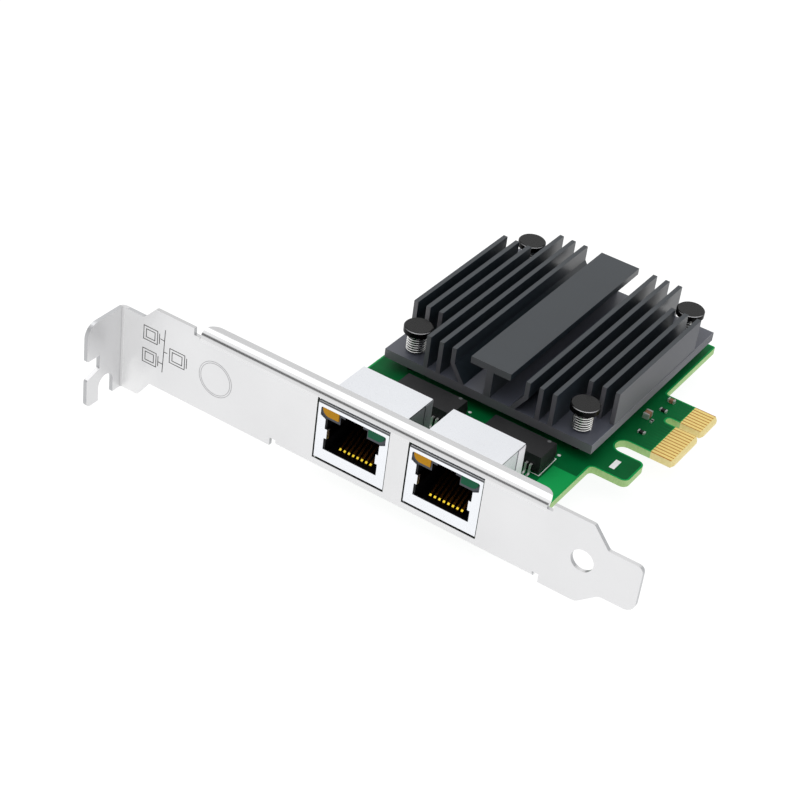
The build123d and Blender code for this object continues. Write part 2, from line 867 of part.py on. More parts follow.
def build_nodes():
    """Every sub-part by its node name."""
    nodes = {
        "circuit_board": circuit_board(),
        "edge_contacts": edge_contacts(),
        "full_height_bracket": full_height_bracket(),
        "bracket_screws": bracket_screws(),
        "heat_sink": heat_sink(),
        "push_pins": push_pins(),
        "push_pin_springs": push_pin_springs(),
        "ethernet_controller": ethernet_controller(),
        "thermal_pad": thermal_pad(),
        "flash_memory": flat_package(flash_x, flash_y, flash_length, flash_width, flash_height),
        "clock_crystal": flat_package(crystal_x, crystal_y, crystal_length, crystal_width, crystal_height),
    }
    for letter, middle in zip("ab", jack_middles):
        nodes[f"jack_{letter}_shield"] = jack_shell(middle)
        nodes[f"jack_{letter}_insulator"] = jack_insulator(middle)
        nodes[f"jack_{letter}_contacts"] = jack_contacts(middle)
        nodes[f"jack_{letter}_amber_light"] = light_pipe(middle, -1)
        nodes[f"jack_{letter}_green_light"] = light_pipe(middle, 1)
    for letter, x in zip("ab", transformer_places()):
        nodes[f"transformer_{letter}_body"] = transformer_body(x)
        nodes[f"transformer_{letter}_leads"] = transformer_leads(x)
    capacitors = [chip_pieces(*place) for place in capacitor_places]
    resistors = [chip_pieces(*place) for place in resistor_places]
    nodes["ceramic_capacitors"] = group([body for body, ends in capacitors])
    nodes["chip_resistors"] = group([body for body, ends in resistors])
    nodes["chip_terminals"] = group([end for body, ends in capacitors + resistors for end in ends])
    return nodes


def main():
    """Writes one STEP file for each node, with the origin moved to the key notch."""
    to_origin = Pos(-connector_tip, -key_notch_y, -(board_bottom + board_top) / 2)
    os.makedirs("parts", exist_ok=True)
    for name, shape in build_nodes().items():
        export_step(to_origin * shape, f"parts/{name}.step")


main()
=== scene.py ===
import json
import math
from functools import cached_property
import bpy
from mathutils import Matrix, Vector

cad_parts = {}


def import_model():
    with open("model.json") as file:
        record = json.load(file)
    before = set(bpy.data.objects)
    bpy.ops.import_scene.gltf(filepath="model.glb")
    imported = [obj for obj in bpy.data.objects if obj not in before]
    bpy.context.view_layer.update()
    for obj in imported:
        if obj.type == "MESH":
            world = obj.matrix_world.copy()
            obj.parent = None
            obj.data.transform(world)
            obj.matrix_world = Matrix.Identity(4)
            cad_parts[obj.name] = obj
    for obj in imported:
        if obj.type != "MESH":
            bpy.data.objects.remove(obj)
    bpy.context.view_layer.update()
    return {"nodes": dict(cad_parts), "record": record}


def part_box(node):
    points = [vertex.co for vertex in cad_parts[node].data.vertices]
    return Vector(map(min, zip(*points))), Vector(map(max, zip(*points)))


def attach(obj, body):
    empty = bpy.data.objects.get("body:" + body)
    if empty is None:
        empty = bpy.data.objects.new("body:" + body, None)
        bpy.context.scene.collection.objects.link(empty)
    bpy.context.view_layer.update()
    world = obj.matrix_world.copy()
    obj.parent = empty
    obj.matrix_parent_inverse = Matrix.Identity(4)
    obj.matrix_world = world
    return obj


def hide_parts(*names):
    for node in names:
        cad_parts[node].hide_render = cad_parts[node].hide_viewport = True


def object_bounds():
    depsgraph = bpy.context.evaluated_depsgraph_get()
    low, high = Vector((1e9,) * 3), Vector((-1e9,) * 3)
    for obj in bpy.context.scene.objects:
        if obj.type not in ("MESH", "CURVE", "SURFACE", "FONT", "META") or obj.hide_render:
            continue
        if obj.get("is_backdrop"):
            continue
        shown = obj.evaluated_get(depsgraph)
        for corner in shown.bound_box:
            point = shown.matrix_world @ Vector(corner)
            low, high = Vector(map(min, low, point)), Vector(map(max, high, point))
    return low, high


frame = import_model()

# Where no heading says metres, sizes are in millimetres in the bracket's working datum: X along the
# bracket from the tab's outer face, Y from the rear panel's outer face, Z up from the bracket's lower edge.
MM = 0.001
DATUM = Vector((104.25, 58.8, 2.0))

# Camera of the photograph: its place, angles in degrees, lens and sensor, and in metres its clipping
CAMERA_PLACE = Vector((210.53, -257.11, 234.74))
CAMERA_AZIMUTH = 29.26
CAMERA_ELEVATION = 35.47
CAMERA_ROLL = 7.81
CAMERA_LENS = 88.73
CAMERA_SENSOR = 36.0
CAMERA_CLIP = (0.01, 20.0)


def row(x, y, z):
    """Point of the working datum, in metres in the row's frame."""
    return (Vector((x, y, z)) - DATUM) * MM


def along(axis, place):
    """Place along one axis of the working datum, in metres in the row's frame."""
    return (place - DATUM["XYZ".index(axis)]) * MM


# The screen's gamma curve: below its toe it is a straight line
GAMMA_TOE = 0.04045
GAMMA_TOE_SLOPE = 12.92
GAMMA_OFFSET = 0.055
GAMMA_POWER = 2.4
FULL = 255


def srgb(red, green, blue):
    """Linear colour of a screen colour given in 0 to 255."""
    channels = []
    for value in (red, green, blue):
        share = value / FULL
        if share <= GAMMA_TOE:
            channels.append(share / GAMMA_TOE_SLOPE)
        else:
            channels.append(((share + GAMMA_OFFSET) / (1 + GAMMA_OFFSET)) ** GAMMA_POWER)
    return (*channels, 1.0)


def shade(colour, factor):
    """The colour made lighter or darker by a factor."""
    return (*[min(channel * factor, 1.0) for channel in colour[:3]], 1.0)


# Node helpers: where a new stop of a ramp starts, the noise levels that take a ramp's two colours, how
# soft a place is in millimetres, and the share of its normal along an axis from which a face is flat.
# In a pair of such shares a mask is 0 at the first and 1 at the second.
RAMP_MIDDLE = 0.5
NOISE_LOW = 0.3
NOISE_HIGH = 0.7
EDGE_SOFT = 0.02
FLAT = (0.9, 0.98)


def fill_ramp(ramp, stops):
    """Gives a colour ramp its (position, colour) stops."""
    elements = ramp.color_ramp.elements
    while len(elements) < len(stops):
        elements.new(RAMP_MIDDLE)
    for element, (position, colour) in zip(elements, stops):
        element.position = position
        element.color = colour


class Shader:
    """A Principled material with short calls for its procedural nodes."""

    def __init__(self, name, **sockets):
        """Sets sockets of the Principled shader by name, with underscores for spaces."""
        self.material = bpy.data.materials.new(name)
        self.material.use_nodes = True
        self.tree = self.material.node_tree
        self.nodes = self.tree.nodes
        self.principled = self.nodes["Principled BSDF"]
        self.coordinates = self.nodes.new("ShaderNodeTexCoord").outputs["Object"]
        for socket, value in sockets.items():
            self.principled.inputs[socket.replace("_", " ")].default_value = value

    def link(self, source, target):
        self.tree.links.new(source, target)

    def split(self, vector):
        """X, Y and Z of a vector, by axis name."""
        node = self.nodes.new("ShaderNodeSeparateXYZ")
        self.link(vector, node.inputs["Vector"])
        return {axis: node.outputs[axis] for axis in "XYZ"}

    @cached_property
    def place(self):
        """The object's X, Y and Z, in metres in the row's frame."""
        return self.split(self.coordinates)

    @cached_property
    def normal(self):
        """The face normal's X, Y and Z, without smoothing."""
        geometry = self.nodes.new("ShaderNodeNewGeometry")
        return self.split(geometry.outputs["True Normal"])

    def noise(self, size_mm, detail=3.0, stretch=(1, 1, 1)):
        """Noise whose features are about size_mm across, stretched along an axis if wanted."""
        mapping = self.nodes.new("ShaderNodeMapping")
        mapping.inputs["Scale"].default_value = [part / (size_mm * MM) for part in stretch]
        self.link(self.coordinates, mapping.inputs["Vector"])
        noise = self.nodes.new("ShaderNodeTexNoise")
        noise.inputs["Scale"].default_value = 1.0
        noise.inputs["Detail"].default_value = detail
        self.link(mapping.outputs["Vector"], noise.inputs["Vector"])
        return noise.outputs["Fac"]

    def ramp(self, factor, stops):
        """Colour ramp through (position, colour) stops."""
        ramp = self.nodes.new("ShaderNodeValToRGB")
        fill_ramp(ramp, stops)
        self.link(factor, ramp.inputs["Fac"])
        return ramp.outputs["Color"]

    def varied(self, noise, dark, light):
        """Colour that wanders from dark to light with a noise."""
        return self.ramp(noise, [(NOISE_LOW, dark), (NOISE_HIGH, light)])

    def tinted(self, noise, colour, variation):
        """Colour that wanders to either side by a share of itself."""
        return self.varied(noise, shade(colour, 1 - variation), shade(colour, 1 + variation))

    def map_range(self, factor, **limits):
        """Map Range node with some of its limits set."""
        node = self.nodes.new("ShaderNodeMapRange")
        for limit, value in limits.items():
            node.inputs[limit.replace("_", " ")].default_value = value
        self.link(factor, node.inputs["Value"])
        return node.outputs["Result"]

    def spread(self, factor, low, high):
        """Maps a 0 to 1 factor to a range."""
        return self.map_range(factor, To_Min=low, To_Max=high)

    def step(self, factor, low, high):
        """0 up to low, 1 from high on, linear between; low may be the larger of the two."""
        return self.map_range(factor, From_Min=low, From_Max=high)

    def math(self, operation, first, second=None):
        """Math node on sockets or numbers."""
        node = self.nodes.new("ShaderNodeMath")
        node.operation = operation
        for socket, value in zip(node.inputs, (first, second)):
            if isinstance(value, (int, float)):
                socket.default_value = value
            elif value is not None:
                self.link(value, socket)
        return node.outputs["Value"]

    def all(self, *masks):
        """1 where every mask is 1."""
        result = masks[0]
        for mask in masks[1:]:
            result = self.math("MULTIPLY", result, mask)
        return result

    def either(self, first, second):
        """1 where at least one mask is 1."""
        return self.math("MAXIMUM", first, second)

    def past(self, axis, place, soft=EDGE_SOFT):
        """1 beyond a place of the working datum, soft on either side by so many millimetres."""
        return self.step(self.place[axis], along(axis, place - soft), along(axis, place + soft))

    def before(self, axis, place, soft=EDGE_SOFT):
        """1 short of a place of the working datum, soft on either side by so many millimetres."""
        return self.step(self.place[axis], along(axis, place + soft), along(axis, place - soft))

    def within(self, axis, low, high, soft=EDGE_SOFT):
        """1 between two places of the working datum."""
        return self.all(self.past(axis, low, soft), self.before(axis, high, soft))

    def facing(self, axis, low, high):
        """Step on the face normal's share along an axis."""
        return self.step(self.normal[axis], low, high)

    def facing_either(self, axis, low, high):
        """Step on the face normal's share along an axis, whichever way the face looks."""
        return self.step(self.math("ABSOLUTE", self.normal[axis]), low, high)

    def mix(self, factor, first, second):
        """Mixes two colours, each a socket or a colour."""
        node = self.nodes.new("ShaderNodeMix")
        node.data_type = "RGBA"
        self.link(factor, node.inputs["Factor"])
        sockets = [socket for socket in node.inputs if socket.type == "RGBA"]
        for socket, value in zip(sockets, (first, second)):
            if isinstance(value, tuple):
                socket.default_value = value
            else:
                self.link(value, socket)
        return [socket for socket in node.outputs if socket.type == "RGBA"][0]

    def paint(self, colour, *layers):
        """Base colour with (mask, colour) layers over it, one after another."""
        for mask, layer in layers:
            colour = self.mix(mask, colour, layer)
        self.link(colour, self.principled.inputs["Base Color"])

    def rough(self, noise, low, high, mask=None, change=0.0):
        """Roughness from low to high with a noise, changed by so much where a mask is 1."""
        roughness = self.spread(noise, low, high)
        if mask is not None:
            roughness = self.math("ADD", roughness, self.math("MULTIPLY", mask, change))
        self.link(roughness, self.principled.inputs["Roughness"])

    def drive(self, socket, mask, low, high):
        """Sets a socket of the Principled shader to low where a mask is 0 and to high where it is 1."""
        self.link(self.spread(mask, low, high), self.principled.inputs[socket])

    def bump(self, height, strength, depth_mm):
        """Surface relief from a noise."""
        bump = self.nodes.new("ShaderNodeBump")
        bump.inputs["Strength"].default_value = strength
        bump.inputs["Distance"].default_value = depth_mm * MM
        self.link(height, bump.inputs["Height"])
        self.link(bump.outputs["Normal"], self.principled.inputs["Normal"])


# Bracket: places that part its regions, and shares of the normal that part faces, edges and bends
FACE_FRONT = 0.01
FACE_BACK = 0.9
FACE_START = 2.0
TAB_EDGES_END = -0.3
TAB_END = -0.44
BEND_START = -0.5
BEND_REACH = 1.4
CORNER_MIDDLE = 6.0
CORNER_SOFT = 4.7
NECK_END = 8.0
NECK_SOFT = 1.0
NECK_TOP = 14.0
FLANGE_FOLD = 15.9
WINDOWS_X = (48.5, 87.0)
WINDOWS_Z = (2.0, 17.0)
EDGEWISE = (0.32, 0.28)
UPWARD = (0.86, 0.92)
FRONTAL = (0.9, 0.99)
BENT = (0.99, 0.9)
FOLDED = (0.995, 0.98)


def bracket_material():
    """Satin nickel-plated steel, duller on the sheared edges and glossier at the folds, with painted light
    on the face beside the tab and on the neck's upper edges, and painted shade on the tab, the curve where
    it turns off the plate and the edges of the port windows.
    """
    shader = Shader("bracket_steel")
    grain = shader.noise(size_mm=0.5, detail=4.0, stretch=(0.05, 1.0, 1.0))
    clouds = shader.noise(size_mm=14.0, detail=2.0)
    plate = shader.all(shader.before("Y", FACE_BACK), shader.past("X", FACE_START))
    plate_edge = shader.all(plate, shader.facing_either("Y", *EDGEWISE))
    tab_edge = shader.all(shader.before("Y", TAB_EDGES_END), shader.facing_either("X", *EDGEWISE))
    edge = shader.either(plate_edge, tab_edge)
    upper_edge = shader.all(edge, shader.facing("Z", *UPWARD))
    side_edge = shader.math("SUBTRACT", edge, upper_edge)
    # Painted shade: the sheared edges of the port windows, seen in the gaps beside the jacks, are painted a
    # dark green-grey
    window_edge_shade = shader.all(side_edge, shader.within("X", *WINDOWS_X), shader.within("Z", *WINDOWS_Z))
    # The upward sheared edges at the neck are duller steel, painted lighter than the other sheared edges as
    # painted light from above
    neck_top = shader.all(upper_edge, shader.before("X", NECK_END, NECK_SOFT), shader.past("Z", NECK_TOP))
    # Painted light: beside the tab the face is painted near white and made less metallic, to make up for the
    # darker tab that it reflects
    corner = shader.all(
        shader.before("X", CORNER_MIDDLE, CORNER_SOFT),
        shader.before("Y", FACE_FRONT),
        shader.facing_either("Y", *FRONTAL),
    )
    # Painted shade: the curve where the tab turns off the plate is painted darker to dim its highlight
    bend_shade = shader.all(
        shader.before("X", BEND_REACH),
        shader.within("Y", BEND_START, FACE_FRONT),
        shader.facing_either("Y", *BENT),
    )
    fold = shader.all(shader.past("Z", FLANGE_FOLD), shader.facing_either("Y", *FOLDED))
    shader.paint(
        shader.tinted(clouds, srgb(227, 227, 228), variation=0.02),
        (corner, srgb(253, 253, 253)),
        # Painted shade: the tab is a slightly darker copy of the same steel
        (shader.before("Y", TAB_END), srgb(220, 220, 221)),
        (bend_shade, srgb(200, 200, 201)),
        (side_edge, srgb(188, 189, 191)),
        (window_edge_shade, srgb(66, 72, 66)),
        (neck_top, srgb(206, 207, 209)),
    )
    shader.drive("Metallic", shader.either(corner, side_edge), low=1.0, high=0.3)
    shader.rough(grain, low=0.27, high=0.36, mask=fold, change=-0.17)
    shader.bump(grain, strength=0.05, depth_mm=0.01)
    return shader.material


# Jack shells: places along the bracket, at their top and behind the bracket's face, drops below their
# top, and the softness of their seams and shadows
JACK_MIDDLES = (57.09, 77.97)
JACK_OUTER_REACH = 7.6
JACK_BETWEEN = (60.0, 70.4)
JACK_TOP = 16.1
SEAM_BACK = 12.55
SEAM_HALF_WIDTH = 0.09
SEAM_SOFT = 0.04
LAP_DROP = 0.26
LAP_START = 1.0
SHELL_SOFT = 0.05
SHADOW_DROP = 0.45
SHADOW_FRONT = 0.38
SHADOW_BACK = 1.2
FOLD_DROP = 0.22
CREASE_DROP = 0.5
ROOF_DROP = 0.4
CAVITY = (0.9, 9.0)
WINDOW_BACK = 0.95
SIDEWAYS = (0.4, 0.6)


def shell_material():
    """Bright tin-plated steel of the jack shells, duller on their sides, dark in their seams, with painted
    shade on the sides, between the jacks, in the cavity, behind the bracket's windows, along the top edges
    and at the fold over the front, painted light behind the right jack's seam, and a painted shadow under
    the bracket.
    """
    shader = Shader("jack_steel")
    clouds = shader.noise(size_mm=8.0, detail=2.0)
    grain = shader.noise(size_mm=0.3)
    from_middles = []
    for middle in JACK_MIDDLES:
        offset = shader.math("SUBTRACT", shader.place["X"], along("X", middle))
        from_middles.append(shader.math("ABSOLUTE", offset))
    reach = shader.math("MINIMUM", *from_middles)
    outer = shader.step(reach, (JACK_OUTER_REACH - EDGE_SOFT) * MM, (JACK_OUTER_REACH + EDGE_SOFT) * MM)
    # Painted shade: the shell's inner faces in the cavity are painted near black
    inside = shader.all(
        shader.math("SUBTRACT", 1.0, outer),
        shader.within("Y", *CAVITY),
        shader.before("Z", JACK_TOP - ROOF_DROP),
    )
    # Painted shade: the sides are painted a darker grey than the tin; they are also less metallic
    side = shader.all(outer, shader.facing_either("X", *SIDEWAYS))
    seam_place = (SEAM_BACK - SEAM_HALF_WIDTH, SEAM_BACK + SEAM_HALF_WIDTH)
    seam = shader.all(side, shader.within("Y", *seam_place, SEAM_SOFT))
    # Painted shade: a dark line along the sides' top edge; the seam painted in the same colour is a dark
    # joint
    top_edge_shade = shader.all(side, shader.past("Z", JACK_TOP - LAP_DROP, SHELL_SOFT), shader.past("Y", LAP_START))
    shadow = shader.all(
        shader.past("Z", JACK_TOP - SHADOW_DROP),
        shader.past("Y", SHADOW_FRONT, SHELL_SOFT),
        shader.before("Y", SHADOW_BACK),
    )
    # Painted shade: the sides that face each other between the jacks
    between = shader.all(side, shader.within("X", *JACK_BETWEEN))
    # Painted light: the right-hand jack's sides behind the seam are painted lighter than the other sides
    rear = shader.all(side, shader.past("X", JACK_BETWEEN[1]), shader.past("Y", SEAM_BACK))
    # Painted shade: a grey band on the rounded fold at the top of the front, where it mirrors darker
    # surroundings, and a dark crease line under it
    front = shader.before("Y", SHADOW_FRONT)
    fold = shader.all(front, shader.past("Z", JACK_TOP - FOLD_DROP))
    crease_shade = shader.all(front, shader.within("Z", JACK_TOP - CREASE_DROP, JACK_TOP - FOLD_DROP))
    # Painted shade: the sides just behind the bracket, seen through its windows, are painted dark
    in_window_shade = shader.all(side, shader.before("Y", WINDOW_BACK))
    tin = srgb(240, 242, 246)
    shader.paint(
        shader.varied(clouds, shade(tin, 0.985), shade(tin, 1.01)),
        (fold, srgb(192, 193, 196)),
        (crease_shade, srgb(88, 89, 92)),
        (side, srgb(212, 214, 218)),
        (between, srgb(150, 152, 156)),
        (rear, srgb(244, 238, 246)),
        (in_window_shade, srgb(84, 86, 90)),
        (shader.either(seam, top_edge_shade), srgb(58, 60, 64)),
        (shadow, srgb(186, 188, 192)),
        (inside, srgb(34, 34, 36)),
    )
    shader.drive("Metallic", side, low=1.0, high=0.3)
    shader.rough(grain, low=0.26, high=0.3)
    return shader.material


# Board: where the solder mask ends on the connector, its traces, and the corner that has no copper
MASK_END = 99.0
CONNECTOR_FRONT = 46.65
CONNECTOR_BACK = 66.95
CONNECTOR_MARGIN = 1.0
TRACES_START = 97.0
TRACES_SOFT = 1.2
TRACES_INSET = 0.8
TRACE_PITCH = 1.0
TRACE_CREST = (0.5, 0.9)
BARE_CORNER_X = 86.3
BARE_CORNER_Y = 29.3
BARE_GREEN = srgb(16, 158, 80)
POUR_GREENS = (srgb(0, 91, 44), srgb(2, 109, 55))
DOWNWARD = (-0.9, -0.98)
MASK_SPECULAR = 0.08


def mask_surface(shader, clouds):
    """Satin surface of the solder mask."""
    shader.rough(clouds, low=0.4, high=0.5)
    shader.bump(shader.noise(size_mm=0.5, detail=2.0), strength=0.06, depth_mm=0.02)


def board_material():
    """Light green solder mask over bare laminate, no mask at the contacts, and pale cut edges."""
    shader = Shader("board_laminate", Specular_IOR_Level=MASK_SPECULAR)
    clouds = shader.noise(size_mm=6.0)
    weave = shader.noise(size_mm=0.4, detail=2.0, stretch=(1, 1, 0.4))
    masked = shader.tinted(clouds, BARE_GREEN, variation=0.05)
    masked = shader.mix(shader.facing("Z", *DOWNWARD), masked, shader.varied(clouds, *POUR_GREENS))
    bare = shader.varied(weave, srgb(186, 128, 62), srgb(200, 142, 72))
    cut = shader.varied(weave, srgb(158, 194, 128), srgb(174, 206, 142))
    cut_bare = shader.varied(weave, srgb(234, 216, 150), srgb(242, 226, 164))
    unmasked = shader.all(shader.past("X", MASK_END), shader.past("Y", CONNECTOR_FRONT - CONNECTOR_MARGIN))
    surface = shader.mix(unmasked, masked, bare)
    edge = shader.mix(unmasked, cut, cut_bare)
    shader.paint(edge, (shader.facing_either("Z", *FLAT), surface))
    mask_surface(shader, clouds)
    return shader.material


def pour_material():
    """Solder mask over copper, darker than over bare laminate, with lighter traces to the contacts."""
    shader = Shader("copper_pour", Specular_IOR_Level=MASK_SPECULAR)
    clouds = shader.noise(size_mm=9.0, detail=4.0)
    turns = shader.math("MULTIPLY", shader.place["Y"], 2 * math.pi / (TRACE_PITCH * MM))
    traces = shader.all(
        shader.step(shader.math("SINE", turns), *TRACE_CREST),
        shader.past("X", TRACES_START, TRACES_SOFT),
        shader.within("Y", CONNECTOR_FRONT + TRACES_INSET, CONNECTOR_BACK - TRACES_INSET),
    )
    bare_corner = shader.all(shader.past("X", BARE_CORNER_X), shader.before("Y", BARE_CORNER_Y))
    shader.paint(
        shader.varied(clouds, *POUR_GREENS),
        (traces, srgb(6, 112, 58)),
        (bare_corner, BARE_GREEN),
    )
    mask_surface(shader, clouds)
    return shader.material


# Ledges that frame the port lights, which carry a painted grey reflection
LEDGE_BOTTOM = 12.3
LEDGE_BACK = 0.6


def insulator_material():
    """Black plastic, with a painted grey reflection on the ledges that frame the port lights."""
    shader = Shader("jack_black", Specular_IOR_Level=0.3)
    fine = shader.noise(size_mm=0.3, detail=2.0)
    # Painted reflection: the ledges are grey instead of black
    ledge_painted_light = shader.all(shader.past("Z", LEDGE_BOTTOM), shader.before("Y", LEDGE_BACK))
    shader.paint(
        shader.varied(fine, srgb(8, 8, 9), srgb(13, 13, 14)),
        (ledge_painted_light, srgb(72, 75, 82)),
    )
    shader.rough(fine, low=0.36, high=0.46)
    shader.bump(fine, strength=0.15, depth_mm=0.02)
    return shader.material


# Jack contacts: the bend behind the mouth, and how its upper front, where a painted glint sits, looks
# forward and up
CONTACT_BEND = 2.8
CONTACT_FORWARD = (-0.6, -0.66)
CONTACT_UP = (0.6, 0.7)


def contact_material():
    """Gold wires, glossier on the upper front of their bends, where a painted glint sits, and darkened
    elsewhere by painted shade.
    """
    shader = Shader("contact_gold", Metallic=1.0)
    fine = shader.noise(size_mm=0.3, detail=2.0)
    glossy_glint = shader.all(
        shader.before("Y", CONTACT_BEND),
        shader.facing("Y", *CONTACT_FORWARD),
        shader.facing("Z", *CONTACT_UP),
    )
    # Painted highlight: bright gold for the glints at the bends
    bright = shader.varied(fine, srgb(255, 216, 58), srgb(255, 224, 72))
    # Painted shade: the dim brown-gold of the wires away from the glints
    shader.paint(srgb(128, 80, 26), (glossy_glint, bright))
    shader.rough(fine, low=0.26, high=0.34, mask=glossy_glint, change=-0.2)
    return shader.material


# Push-pin caps: where their rims lie, and how the edge that carries a painted highlight slopes and looks to
# the front
CAP_RIM_TOP = 13.3
CAP_RIM_SOFT = 0.03
CAP_RIM_FRONT = (0.49, 0.87)
CAP_RIM_FRONTWARD = (0.34, 0.66)
CAP_RIM_STEEP = (0.5, 0.6)
CAP_RIM_LEVEL = (0.86, 0.8)
UPRIGHT = (0.5, 0.3)


def pin_material():
    """Black nylon, with a painted highlight along the front edge of each cap and painted shade on the caps'
    sides.
    """
    shader = Shader("pin_nylon")
    fine = shader.noise(size_mm=0.5, detail=2.0)
    rightward = shader.math("MULTIPLY", shader.normal["X"], CAP_RIM_FRONT[0])
    backward = shader.math("MULTIPLY", shader.normal["Y"], CAP_RIM_FRONT[1])
    # Painted highlight: a light crescent along the front of each cap's edge
    rim_highlight = shader.all(
        shader.facing("Z", *CAP_RIM_STEEP),
        shader.facing("Z", *CAP_RIM_LEVEL),
        shader.step(shader.math("SUBTRACT", rightward, backward), *CAP_RIM_FRONTWARD),
        shader.before("Z", CAP_RIM_TOP, CAP_RIM_SOFT),
    )
    # Painted shade: the caps' sides are a darker black than their tops; they are also less specular
    dull_shaded_sides = shader.facing_either("Z", *UPRIGHT)
    shader.paint(
        shader.varied(fine, srgb(10, 10, 11), srgb(14, 14, 15)),
        (dull_shaded_sides, srgb(6, 6, 7)),
        (rim_highlight, srgb(196, 196, 198)),
    )
    shader.rough(fine, low=0.22, high=0.32)
    shader.drive("Specular IOR Level", dull_shaded_sides, low=0.27, high=0.06)
    return shader.material


# Heat sink: its base and right side, and the stretch in which that side's painted reflection darkens to the
# back
SINK_BASE_TOP = 7.45
SINK_BASE_MARGIN = 0.3
SINK_RIGHT = 91.48
SINK_LEDGE = 0.14
SINK_SHADED = (36.0, 64.0)
SAWN = (0.8, 0.95)


def sink_material():
    """Black anodised aluminium with the fine draw lines of an extrusion along Y, and painted light on its
    base top, sawn ends, right side and the strip at that side's foot.
    """
    shader = Shader("sink_anodised", IOR=1.58)
    lines = shader.noise(size_mm=0.35, stretch=(1.0, 0.02, 1.0))
    clouds = shader.noise(size_mm=8.0)
    # Painted light: the top of the base between the fins is a lighter grey than the rest
    base_top = shader.all(
        shader.facing("Z", *FLAT), shader.before("Z", SINK_BASE_TOP + SINK_BASE_MARGIN)
    )
    at_right = shader.past("X", SINK_RIGHT - SINK_LEDGE)
    right_side = shader.all(at_right, shader.facing("X", *FLAT))
    # Painted light: the narrow top of the base along the right side is lightened to hide the shaded line at
    # the fin's foot
    ledge_painted_light = shader.all(at_right, base_top)
    # Painted reflection: the right side is a light grey for the bright floor it mirrors, lightest at the
    # front, where the board shades it
    along_side = shader.step(shader.place["Y"], *[along("Y", place) for place in SINK_SHADED])
    side_painted_reflection = shader.ramp(along_side, [(0.0, srgb(126, 127, 132)), (1.0, srgb(111, 112, 117))])
    # Painted light: the sawn ends are a lighter grey than the anodising elsewhere, and the base's front
    # lighter still where the board shades it
    sawn = shader.facing_either("Y", *SAWN)
    sawn_base_painted_light = shader.all(sawn, shader.before("Z", SINK_BASE_TOP))
    shader.paint(
        shader.tinted(clouds, srgb(35, 43, 50), variation=0.06),
        (base_top, srgb(80, 83, 94)),
        (right_side, side_painted_reflection),
        (ledge_painted_light, srgb(138, 139, 145)),
        (sawn, srgb(89, 88, 93)),
        (sawn_base_painted_light, srgb(101, 100, 105)),
    )
    dull = shader.either(right_side, ledge_painted_light)
    shader.drive("Specular IOR Level", dull, low=0.5, high=0.12)
    shader.rough(lines, low=0.27, high=0.36, mask=dull, change=0.4)
    shader.bump(lines, strength=0.06, depth_mm=0.01)
    return shader.material


# Plain materials: how large their patches and grain are, how deep the grain is, and the shares between
# which their roughness wanders
PATCH_SIZE = 3.0
GRAIN_SIZE = 0.15
GRAIN_DEPTH = 0.02
SATIN_LOW = 0.85
SATIN_HIGH = 1.15


def mottled(name, colour, roughness, metallic=0.0, variation=0.06, grain=0.1, **sockets):
    """Material with slight colour and roughness variation and a fine surface grain."""
    shader = Shader(name, Metallic=metallic, **sockets)
    shader.paint(shader.tinted(shader.noise(PATCH_SIZE), colour, variation))
    fine = shader.noise(GRAIN_SIZE, detail=2.0)
    shader.rough(fine, roughness * SATIN_LOW, roughness * SATIN_HIGH)
    shader.bump(fine, grain, GRAIN_DEPTH)
    return shader.material


def make_materials():
    """Every material by slot name."""
    made = {
        "bracket_steel": bracket_material(),
        "board_laminate": board_material(),
        "sink_anodised": sink_material(),
        "jack_steel": shell_material(),
        "copper_pour": pour_material(),
        "jack_black": insulator_material(),
        "contact_gold": contact_material(),
        "pin_nylon": pin_material(),
    }
    plain = {
        "edge_gold": dict(colour=srgb(255, 226, 140), roughness=0.3, metallic=0.7, variation=0.03),
        "screw_steel": dict(colour=srgb(200, 200, 202), roughness=0.3, metallic=1.0),
        "spring_steel": dict(colour=srgb(246, 246, 244), roughness=0.12, metallic=1.0),
        "package_black": dict(colour=srgb(20, 20, 22), roughness=0.6, grain=0.3),
        "pad_rubber": dict(colour=srgb(150, 156, 165), roughness=0.8, grain=0.3),
        "crystal_can": dict(colour=srgb(205, 205, 205), roughness=0.3, metallic=1.0),
        "light_amber": dict(colour=srgb(186, 132, 0), roughness=0.35, Specular_IOR_Level=0.15),
        "light_green": dict(colour=srgb(6, 86, 58), roughness=0.35, Specular_IOR_Level=0.15),
        "magnetics_black": dict(colour=srgb(27, 27, 29), roughness=0.5, grain=0.35, Specular_IOR_Level=0.3),
        "silk_white": dict(colour=srgb(252, 254, 252), roughness=0.6, grain=0.0),
        "mark_dark": dict(colour=srgb(34, 34, 36), roughness=0.6, grain=0.2),
        "mark_grey": dict(colour=srgb(92, 92, 94), roughness=0.6, grain=0.2),
        "mark_pale": dict(colour=srgb(166, 166, 168), roughness=0.6, grain=0.2),
        "lead_tin": dict(colour=srgb(230, 230, 228), roughness=0.3, metallic=0.7),
        "capacitor_brown": dict(colour=srgb(150, 108, 80), roughness=0.5, grain=0.2),
        "resistor_black": dict(colour=srgb(16, 13, 14), roughness=0.35),
    }
    for name, values in plain.items():
        made[name] = mottled(name, **values)
    return made


# Pieces

def mesh_piece(name, vertices, faces, material, smooth=False):
    """Mesh object from vertices in metres, riding on the card."""
    mesh = bpy.data.meshes.new(name)
    mesh.from_pydata(vertices, [], faces)
    mesh.validate()
    if smooth:
        mesh.shade_smooth()
    piece = bpy.data.objects.new(name, mesh)
    bpy.context.scene.collection.objects.link(piece)
    mesh.materials.append(material)
    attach(piece, "root")
    return piece


